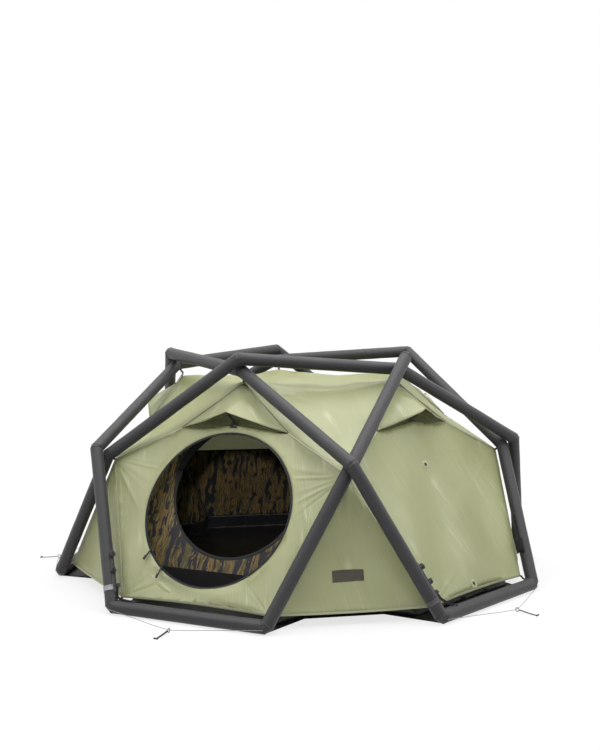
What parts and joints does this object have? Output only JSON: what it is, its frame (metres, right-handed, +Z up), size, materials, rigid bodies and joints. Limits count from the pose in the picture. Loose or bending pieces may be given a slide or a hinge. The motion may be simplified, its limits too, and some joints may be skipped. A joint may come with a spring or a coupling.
{
  "type": "inflatable dome tent",
  "caption": "Dome tent with a frame of woven inflatable air chambers, a hung flysheet with a round zipped door, hooded vents, and an inner tent with a floor tub.",
  "frame": {"origin": "on the ground below the middle of the tent", "axes": "+Z up, the door looks along -Y, +X to the right of someone who faces the door"},
  "size_m": [3.2296, 3.1302, 1.3696],
  "materials": {
    "sleeve_cloth": "charcoal coated woven sleeve cloth",
    "bladder_film": "pale smooth film",
    "joint_plastic": "grey moulded plastic",
    "valve_plastic": "black ribbed moulded plastic",
    "fly_cloth": "sage green coated ripstop cloth",
    "zip_tape": "dark grey woven tape with a coil zip",
    "slider_metal": "black painted zip slider with a cord pull",
    "inner_cloth": "brown and black camouflage cloth",
    "mesh_cloth": "fine insect mesh",
    "floor_cloth": "black coated floor cloth",
    "webbing": "black webbing and hooks",
    "guy_cord": "pale grey braided cord"
  },
  "bodies": {
    "tent": {"tube_sleeve_1": "sleeve_cloth", "tube_sleeve_2": "sleeve_cloth", "tube_sleeve_3": "sleeve_cloth", "tube_sleeve_4": "sleeve_cloth", "tube_sleeve_5": "sleeve_cloth", "air_bladder_1": "bladder_film", "air_bladder_2": "bladder_film", "air_bladder_3": "bladder_film", "air_bladder_4": "bladder_film", "air_bladder_5": "bladder_film", "joint_valve_1": "joint_plastic", "joint_valve_2": "joint_plastic", "joint_valve_3": "joint_plastic", "joint_valve_4": "joint_plastic", "joint_valve_5": "joint_plastic", "fly_hook_crown_1": "webbing", "fly_hook_crown_2": "webbing", "fly_hook_crown_3": "webbing", "fly_hook_crown_4": "webbing", "fly_hook_crown_5": "webbing", "fly_hook_waist_1": "webbing", "fly_hook_waist_2": "webbing", "fly_hook_waist_3": "webbing", "fly_hook_waist_4": "webbing", "fly_hook_waist_5": "webbing", "flysheet": "fly_cloth", "door_zip": "zip_tape", "outer_door_roll": "fly_cloth", "inner_tent": "inner_cloth", "mesh_roof": "mesh_cloth", "floor_tub": "floor_cloth", "tub_wall": "floor_cloth", "groundsheet": "floor_cloth", "inner_door_roll": "inner_cloth", "repair_pouch": "webbing", "guy_cord_front": "guy_cord", "guy_cord_right": "guy_cord", "guy_cord_left": "guy_cord", "guy_strap_front": "webbing", "guy_strap_right": "webbing", "guy_strap_left": "webbing"},
    "inflation_cap_1": {"inflation_cap_1": "valve_plastic"},
    "inflation_cap_2": {"inflation_cap_2": "valve_plastic"},
    "inflation_cap_3": {"inflation_cap_3": "valve_plastic"},
    "inflation_cap_4": {"inflation_cap_4": "valve_plastic"},
    "inflation_cap_5": {"inflation_cap_5": "valve_plastic"},
    "shutoff_knob_1": {"shutoff_knob_1": "valve_plastic"},
    "shutoff_knob_2": {"shutoff_knob_2": "valve_plastic"},
    "shutoff_knob_3": {"shutoff_knob_3": "valve_plastic"},
    "shutoff_knob_4": {"shutoff_knob_4": "valve_plastic"},
    "shutoff_knob_5": {"shutoff_knob_5": "valve_plastic"},
    "door_slider_left": {"door_slider_left": "slider_metal"},
    "door_slider_right": {"door_slider_right": "slider_metal"},
    "inner_door_slider": {"inner_door_slider": "slider_metal"},
    "vent_prop_1": {"vent_prop_1": "webbing"},
    "vent_prop_2": {"vent_prop_2": "webbing"},
    "vent_prop_3": {"vent_prop_3": "webbing"},
    "vent_prop_4": {"vent_prop_4": "webbing"},
    "vent_prop_5": {"vent_prop_5": "webbing"}
  },
  "joints": [
    {"name": "inflation_cap_1_turn", "type": "hinge", "parent": "tent", "child": "inflation_cap_1", "pos_m": [-0.51189, -1.31169, 0.29081], "axis": [0.8476, -0.2655, 0.4594], "range_deg": [0, 90]},
    {"name": "inflation_cap_2_turn", "type": "hinge", "parent": "tent", "child": "inflation_cap_2", "pos_m": [1.08931, -0.89218, 0.29081], "axis": [0.5144, 0.7241, 0.4594], "range_deg": [0, 90]},
    {"name": "inflation_cap_3_turn", "type": "hinge", "parent": "tent", "child": "inflation_cap_3", "pos_m": [1.18512, 0.7603, 0.29081], "axis": [-0.5297, 0.713, 0.4594], "range_deg": [0, 90]},
    {"name": "inflation_cap_4_turn", "type": "hinge", "parent": "tent", "child": "inflation_cap_4", "pos_m": [-0.35686, 1.36207, 0.29081], "axis": [-0.8418, -0.2834, 0.4594], "range_deg": [0, 90]},
    {"name": "inflation_cap_5_turn", "type": "hinge", "parent": "tent", "child": "inflation_cap_5", "pos_m": [-1.40568, 0.0815, 0.29081], "axis": [0.0094, -0.8882, 0.4594], "range_deg": [0, 90]},
    {"name": "shutoff_knob_1_turn", "type": "hinge", "parent": "tent", "child": "shutoff_knob_1", "pos_m": [-0.48074, -1.34355, 0.21493], "axis": [0.8476, -0.2655, 0.4594], "range_deg": [0, 90]},
    {"name": "shutoff_knob_2_turn", "type": "hinge", "parent": "tent", "child": "shutoff_knob_2", "pos_m": [1.12924, -0.87239, 0.21493], "axis": [0.5144, 0.7241, 0.4594], "range_deg": [0, 90]},
    {"name": "shutoff_knob_3_turn", "type": "hinge", "parent": "tent", "child": "shutoff_knob_3", "pos_m": [1.17865, 0.80438, 0.21493], "axis": [-0.5297, 0.713, 0.4594], "range_deg": [0, 90]},
    {"name": "shutoff_knob_4_turn", "type": "hinge", "parent": "tent", "child": "shutoff_knob_4", "pos_m": [-0.40079, 1.36953, 0.21493], "axis": [-0.8418, -0.2834, 0.4594], "range_deg": [0, 90]},
    {"name": "shutoff_knob_5_turn", "type": "hinge", "parent": "tent", "child": "shutoff_knob_5", "pos_m": [-1.42635, 0.04203, 0.21493], "axis": [0.0094, -0.8882, 0.4594], "range_deg": [0, 90]},
    {"name": "door_slider_left_run", "type": "hinge", "parent": "tent", "child": "door_slider_left", "pos_m": [0.01, -1.08891, 0.542], "axis": [0, -0.8885, 0.4588], "range_deg": [-330, 0]},
    {"name": "door_slider_right_run", "type": "hinge", "parent": "tent", "child": "door_slider_right", "pos_m": [0.01, -1.08891, 0.542], "axis": [0, -0.8885, 0.4588], "range_deg": [0, 330]},
    {"name": "inner_door_slider_run", "type": "hinge", "parent": "tent", "child": "inner_door_slider", "pos_m": [0.045, -0.91361, 0.62], "axis": [0, -0.8886, 0.4587], "range_deg": [-30, 248]},
    {"name": "vent_prop_1_swing", "type": "hinge", "parent": "tent", "child": "vent_prop_1", "pos_m": [0, -0.95881, 1.054], "axis": [-1, 0, 0], "range_deg": [0, 100]},
    {"name": "vent_prop_2_swing", "type": "hinge", "parent": "tent", "child": "vent_prop_2", "pos_m": [0.91189, -0.29629, 1.054], "axis": [-0.309, -0.9511, 0], "range_deg": [0, 100]},
    {"name": "vent_prop_3_swing", "type": "hinge", "parent": "tent", "child": "vent_prop_3", "pos_m": [0.56358, 0.7757, 1.054], "axis": [0.809, -0.5878, 0], "range_deg": [0, 100]},
    {"name": "vent_prop_4_swing", "type": "hinge", "parent": "tent", "child": "vent_prop_4", "pos_m": [-0.56358, 0.7757, 1.054], "axis": [0.809, 0.5878, 0], "range_deg": [0, 100]},
    {"name": "vent_prop_5_swing", "type": "hinge", "parent": "tent", "child": "vent_prop_5", "pos_m": [-0.91189, -0.29629, 1.054], "axis": [-0.309, 0.9511, 0], "range_deg": [0, 100]}
  ]
}
